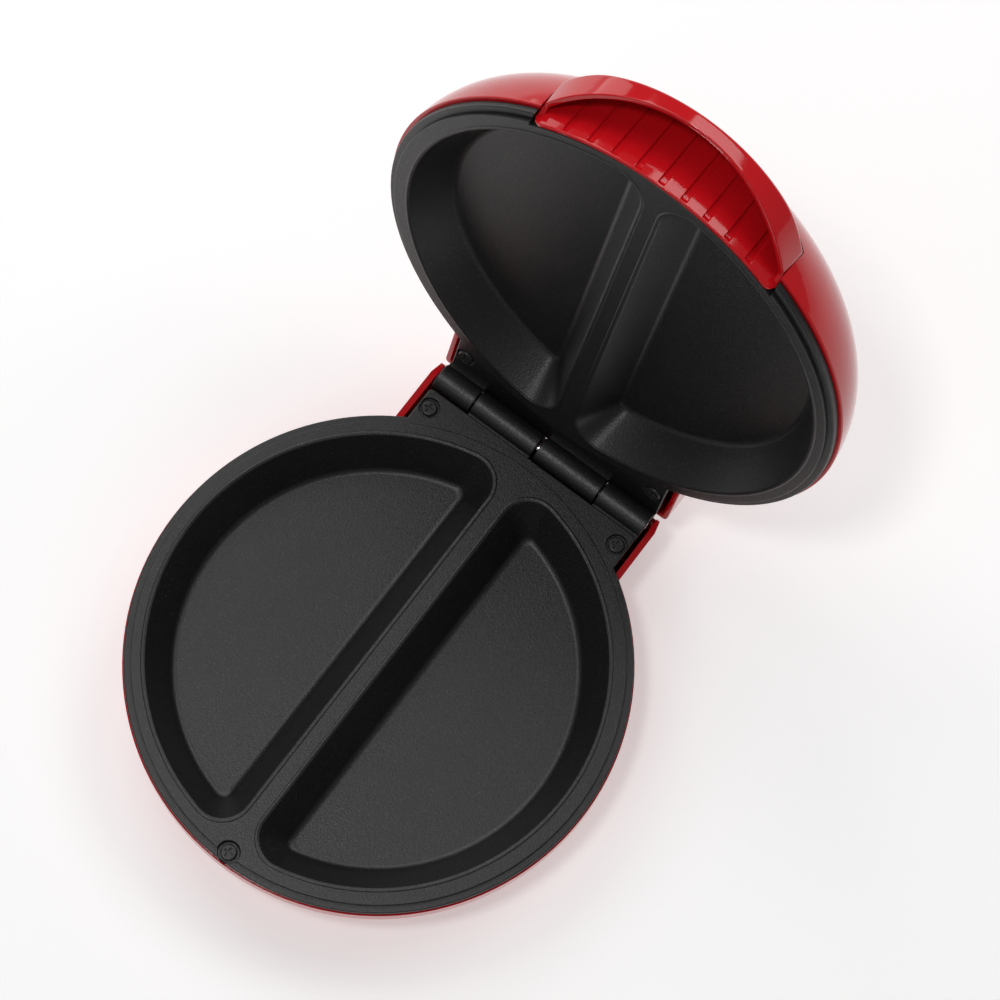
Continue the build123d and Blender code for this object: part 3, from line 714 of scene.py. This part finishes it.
def lid_field(x, y, z, inset=0.0):
    """Below zero inside the lid's outer form: dome plus hinge housing."""
    r = np.hypot(x, y) / (D_R - 0.11 - inset)
    q = np.clip(z - D_S, 0, None) / (D_H - inset - D_S)
    d = ((r**D_N + q**D_N) ** (1 / D_N) - 1) * 70
    hw, ye = 52.75 - inset, 108.4 - inset
    b = smax(np.abs(x) - hw, y - ye, 2.2)
    b = smax(b, 45.0 - y, 1.0)

    def edge(p, q2):
        (y0, z0), (y1, z1) = p, q2
        ln = math.hypot(y1 - y0, z1 - z0)
        ny, nz = (z0 - z1) / ln, (y1 - y0) / ln
        if nz < 0:
            ny, nz = -ny, -nz
        return (y - y0) * ny + (z - z0) * nz + inset

    b = smax(b, edge((108.4, 16.9), (106.4, 21.4)), 1.2)
    b = smax(b, edge((106.4, 21.4), (101.9, 24.9)), 1.2)
    b = smax(b, edge((101.9, 24.9), (40.0, 40.9)), 2.0)
    # shoulders lean in at 30 degrees
    sh = (np.abs(x) - 45.0) * math.cos(math.radians(30)) + (z - 31.5) * math.sin(math.radians(30))
    b = smax(b, sh - 1.0 + inset, 2.0)
    return -smax(-d, -b, 1.6)


def lid_shell():
    bd = Build()
    th = np.radians(np.concatenate([
        np.arange(-225, 40, 1.25), np.arange(40, 135, 0.42)]))
    nphi = 96
    rings = []
    o = np.array([0.0, 0.0, RIMZ])
    for k in range(nphi + 1):
        t = k / nphi
        ph = math.radians(90 * (t ** 1.12))
        d = np.column_stack([np.cos(th) * math.cos(ph), np.sin(th) * math.cos(ph), np.full(len(th), math.sin(ph))])
        lo = np.full(len(th), 20.0)
        hi = np.full(len(th), 140.0)
        for _ in range(30):
            m = (lo + hi) / 2
            p = o + d * m[:, None]
            ins = lid_field(p[:, 0], p[:, 1], p[:, 2]) < 0
            lo = np.where(ins, m, lo)
            hi = np.where(ins, hi, m)
        rings.append(o + d * lo[:, None])
    # rolled edge and inner wall, in plan
    base = rings[0][:, :2]
    first = []
    for off, z in ((2.35, RIMZ + 7.0), (2.35, RIMZ + 0.4), (2.2, RIMZ + 0.1), (1.9, RIMZ),
                   (0.45, RIMZ), (0.2, RIMZ + 0.08), (0.05, RIMZ + 0.3)):
        p = offset_loop(base, off)
        first.append(np.column_stack([p, np.full(len(p), z)]))
    rings[0][:, 2] = RIMZ + 0.6
    ids = bd.sweep(first + rings[:-1])
    top = bd.add([rings[-1][0]])[0]
    last = ids[-1]
    for i in range(len(last)):
        bd.f.append((last[i], last[(i + 1) % len(last)], top))
    o = bd.make("lid_shell", MAT["red_shell"], lambda p: p, sharp=40)
    me = o.data
    bm = bmesh.new()
    bm.from_mesh(me)
    # opening for the handle moulding
    for co, no in (((0, -78.0, 0), (0, 1, 0)), ((-50.1, 0, 0), (1, 0, 0)), ((50.1, 0, 0), (1, 0, 0))):
        g = [f for f in bm.faces if f.calc_center_median().y < -60]
        vs = set(v for f in g for v in f.verts)
        es = set(e for f in g for e in f.edges)
        bmesh.ops.bisect_plane(bm, geom=list(g) + list(es) + list(vs), plane_co=co, plane_no=no, dist=1e-5)
    kill = [f for f in bm.faces if f.calc_center_median().y < -78.0 and abs(f.calc_center_median().x) < 50.1]
    bmesh.ops.delete(bm, geom=kill, context="FACES")
    co = np.array([v.co[:] for v in bm.verts])
    q = lid_row(co)
    for v, p in zip(bm.verts, q):
        v.co = Vector(p)
    for f in bm.faces:
        f.smooth = True
    bm.to_mesh(me)
    bm.free()
    return o


shell = lid_shell()
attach(shell, "lid")
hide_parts("upper_housing")


# ------------------------------------------------------------------- the handle
HX, HB, HF, HS = 50.0, -78.0, -110.5, -81.5
H_R = (HX**2 + (HS - HF) ** 2) / (2 * (HS - HF))
H_Y = HF + H_R
LT = 2.2


def h_path(inset):
    """Plan outline of the lip from its left foot round to the right one."""
    r = H_R - inset
    hx = HX - inset
    rc = max(3.2 - inset, 1.0)
    # corner circle tangent to the side line and the arc (inside both)
    cx = hx - rc
    cy = H_Y - math.sqrt((r - rc) ** 2 - cx * cx)
    a = math.atan2(cy - H_Y, cx)
    pts = []
    for k in range(5):
        t = k / 5
        pts.append((hx, -77.4 + (cy + 77.4) * t))
    n = 10
    for k in range(n + 1):
        t = k / n
        ang = 0 + (a - 0) * t
        pts.append((cx + rc * math.cos(ang), cy + rc * math.sin(ang)))
    na = 120
    a0, a1 = a, -math.pi - a
    for k in range(1, na):
        ang = a0 + (a1 - a0) * k / na
        pts.append((r * math.cos(ang), H_Y + r * math.sin(ang)))
    right = np.array(pts)
    left = right[: 5 + n + 1][::-1].copy()
    left[:, 0] *= -1
    return np.concatenate([right, left])


def top_z(x, y, drop=0.0):
    """The visor's sloping top."""
    ax = np.abs(x)
    zd = dome_z(np.hypot(ax, 78.0)) - drop
    zf = 21.7 - drop - 2.2 * np.clip((ax - 36.0) / 14.0, 0, None) ** 2
    axc = np.minimum(ax, H_R - 0.5)
    fy = H_Y - np.sqrt(H_R**2 - axc**2)
    t = np.clip((y - fy) / (HB - fy), 0, 1)
    return zf + (zd - zf) * t


def arch_z(x, y):
    """Lower edge of the lip: an arch that runs down to the grip wall's foot."""
    ax = np.abs(x)
    R = (60.0**2 + 12.9**2) / (2 * 12.9)
    z = 15.9 - (R - np.sqrt(R**2 - ax**2))
    foot = 4.3 + np.clip((-77.6 - y) / 3.6, 0, 1) * 2.9
    return np.where(y > -81.2, np.minimum(z, foot), z)


def make_handle():
    bd = Build()
    P, Q = h_path(0.0), h_path(LT)
    x, y = P[:, 0], P[:, 1]
    zt, zb = top_z(x, y), arch_z(x, y)
    zb = np.minimum(zb, zt - 2)
    # inward plan normals for the rounded edges
    N = Q - P
    N /= np.linalg.norm(N, axis=1)[:, None]
    rows = []
    e = 1.1
    for k in range(6):
        t = math.pi / 2 * k / 5
        o, dz = e * (1 - math.sin(t)), e * (1 - math.cos(t))
        rows.append(np.column_stack([x + N[:, 0] * o, y + N[:, 1] * o, zt - dz + (o * 0.42)]))
    for k in range(1, 6):
        rows.append(np.column_stack([x, y, zt - e + (zb + 0.55 - zt + e) * k / 6]))
    e = 0.5
    for k in range(5):
        t = math.pi / 2 * k / 4
        o, dz = e * (1 - math.cos(t)), e * (1 - math.sin(t))
        rows.append(np.column_stack([x + N[:, 0] * o, y + N[:, 1] * o, zb + dz]))
    qx, qy = Q[:, 0], Q[:, 1]
    zi = top_z(qx, qy, LT)
    zb2 = arch_z(qx, qy)
    for k in range(5):
        t = math.pi / 2 * k / 4
        o, dz = e * (1 - math.sin(t)), e * (1 - math.cos(t))
        rows.append(np.column_stack([qx - N[:, 0] * o, qy - N[:, 1] * o, np.minimum(zb, zb2) + dz]))
    for k in range(1, 6):
        rows.append(np.column_stack([qx, qy, zb + 0.5 + (zi - zb - 0.5) * k / 5]))
    bd.grid(rows)
    # top surface, from the rounded edge back to the dome
    i0, i1 = 5, len(P) - 5
    front = rows[0][i0:i1]
    n = 16
    g = []
    for k in range(n + 1):
        t = k / n
        yy = front[:, 1] + (HB + 0.02 - front[:, 1]) * t
        zz = top_z(front[:, 0], yy)
        zz = front[:, 2] + (zz - top_z(front[:, 0], front[:, 1])) if k else front[:, 2]
        g.append(np.column_stack([front[:, 0], yy, zz]))
    bd.grid(g)
    # inner roof, back to the grip wall
    fr = rows[-1][i0:i1]
    wall_y = -np.sqrt(np.maximum(92.0**2 - fr[:, 0] ** 2, 1.0))
    g = []
    for k in range(9):
        t = k / 8
        yy = fr[:, 1] + (wall_y - fr[:, 1]) * t
        g.append(np.column_stack([fr[:, 0], yy, fr[:, 2] + top_z(fr[:, 0], yy, LT) - top_z(fr[:, 0], fr[:, 1], LT)]))
    bd.grid(g)
    # grip wall with its upright grooves
    gr = [9.45 * (i - 4) for i in range(9)]
    ang_g = [math.asin(v / 92.5) for v in gr]
    s = set()
    amax = math.asin(49.96 / 92.5)
    for a in np.linspace(-amax, amax, 91):
        s.add(round(float(a), 5))
    offs = [1.6, 1.42, 1.35, 1.28, 1.21, 1.14, 1.07, 1.0, 0.7, 0.35, 0.0]
    for ag in ang_g:
        for v in list(s):
            if abs(v - ag) * 92.5 < 1.58:
                s.discard(v)
        for of in offs:
            s.add(round(ag + of / 92.5, 5))
            s.add(round(ag - of / 92.5, 5))
    a = np.array(sorted(s))
    dep = np.zeros(len(a))
    for ag in ang_g:
        u = np.clip((1.42 - np.abs(a - ag) * 92.5) / 0.42, 0, 1)
        dep = np.maximum(dep, u * u * (3 - 2 * u))
    ax = np.abs(92.5 * np.sin(a))
    zlow = 0.82 + np.where(ax > 47.0, 3.0 - np.sqrt(np.clip(9 - (ax - 47.0) ** 2, 0, 9)), 0.0)
    rows = []

    def wall(r, z):
        rows.append(np.column_stack([r * np.sin(a), -r * np.cos(a), z]))

    wall(90.95, zlow + 6.0)
    wall(90.95, zlow + 0.2)
    wall(91.1, zlow + 0.03)
    for k in range(5):
        t = math.pi / 2 * k / 4
        wall(92.5 - 0.45 * (1 - math.sin(t)), zlow + 0.45 * (1 - math.cos(t)))
    roof = top_z(92.5 * np.sin(a), -92.5 * np.cos(a), LT) + 0.6
    zz = [0.75, 1.0, 1.2, 1.4, 1.6, 1.8, 2.1, 2.6, 3.6]
    for h in zz:
        u = min(max((h - 0.75) / 1.2, 0), 1)
        wall(92.5 - 1.05 * dep * (u * u * (3 - 2 * u)), zlow + h)
    for k in range(1, 9):
        wall(92.5 - 1.05 * dep, zlow + 3.6 + (roof - zlow - 3.6) * k / 8)
    bd.grid(rows)
    # the tab's two narrow ends below the lip
    for i in (0, -1):
        edge = np.array([r[i] for r in rows[2:]])
        edge = edge[edge[:, 2] < 8.5]
        back = edge.copy()
        back[:, 0] *= 90.95 / 92.5
        back[:, 1] = -90.95 * math.cos(amax)
        bd.grid([edge, back])
    return bd.make("handle_moulding", MAT["red_shell"], lid_row, sharp=48)


handle = make_handle()
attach(handle, "lid")
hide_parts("handle")


# --------------------------------------------------------------------- camera
AZ, EL, ROLL = math.radians(27.574), math.radians(74.531), math.radians(9.528)
TARGET = Vector((-0.000941, 0.029007, 0.0355))
back = Vector((math.sin(AZ) * math.cos(EL), -math.cos(AZ) * math.cos(EL), math.sin(EL)))
fwd = -back
right = fwd.cross(Vector((0, 0, 1))).normalized()
up = right.cross(fwd)
r2 = right * math.cos(ROLL) + up * math.sin(ROLL)
u2 = -right * math.sin(ROLL) + up * math.cos(ROLL)
cam_d = bpy.data.cameras.new("camera")
cam = bpy.data.objects.new("camera", cam_d)
bpy.context.scene.collection.objects.link(cam)
M = Matrix((r2, u2, back)).transposed().to_4x4()
M.translation = TARGET + back * 1.346897
cam.matrix_world = M
cam_d.lens = 128.567
cam_d.sensor_width = 36.0
cam_d.clip_start, cam_d.clip_end = 0.05, 20
cam_d.dof.use_dof = False
bpy.context.scene.camera = cam


# ---------------------------------------------------------------------- stage
def plane(name, size, z, mat):
    me = bpy.data.meshes.new(name)
    s = size / 2
    me.from_pydata([(-s, -s, z), (s, -s, z), (s, s, z), (-s, s, z)], [], [(0, 1, 2, 3)])
    o = bpy.data.objects.new(name, me)
    bpy.context.scene.collection.objects.link(o)
    me.materials.append(mat)
    return o


fm, fnt, fb = new_mat("floor_white")
fb.inputs["Base Color"].default_value = (0.76, 0.76, 0.76, 1)
fb.inputs["Roughness"].default_value = 0.6
fb.inputs["Specular IOR Level"].default_value = 0.1
fb.inputs["Emission Color"].default_value = (1, 1, 1, 1)
fb.inputs["Emission Strength"].default_value = 0.40
floor = plane("floor", 12.0, -0.0002, fm)


def area(name, direction, dist, size, size_y, radiance, col=(1, 1, 1)):
    l = bpy.data.lights.new(name, "AREA")
    l.shape = "RECTANGLE"
    l.size, l.size_y = size, size_y
    l.energy = math.pi * size * size_y * radiance
    l.color = col
    o = bpy.data.objects.new(name, l)
    bpy.context.scene.collection.objects.link(o)
    c = Vector((0.0, 0.05, 0.08))
    d = Vector(direction).normalized()
    o.location = c + d * dist
    z = d
    x = Vector((0, 0, 1)).cross(z).normalized()
    y = z.cross(x)
    m = Matrix((x, y, z)).transposed().to_4x4()
    m.translation = o.location
    o.matrix_world = m
    return o


area("key", (-0.60, 0.34, 0.74), 1.5, 0.85, 0.85, 2.8)
area("back_right", (0.105, 0.585, 0.798), 1.378, 0.92, 0.54, 3.1)
area("back_left", (-0.857, 0.476, 0.183), 1.26, 0.45, 0.42, 1.5)
area("overhead", (-0.11, -0.24, 0.96), 1.8, 0.24, 0.24, 38.0)
area("front", (-0.12, -0.70, 0.70), 1.7, 0.50, 0.36, 2.4)

w = bpy.data.worlds.new("world")
bpy.context.scene.world = w
w.use_nodes = True
bg = w.node_tree.nodes["Background"]
bg.inputs[0].default_value = (1, 1, 1, 1)
bg.inputs[1].default_value = 0.17
bpy.context.scene.view_settings.view_transform = "Standard"
bpy.context.scene.view_settings.look = "None"
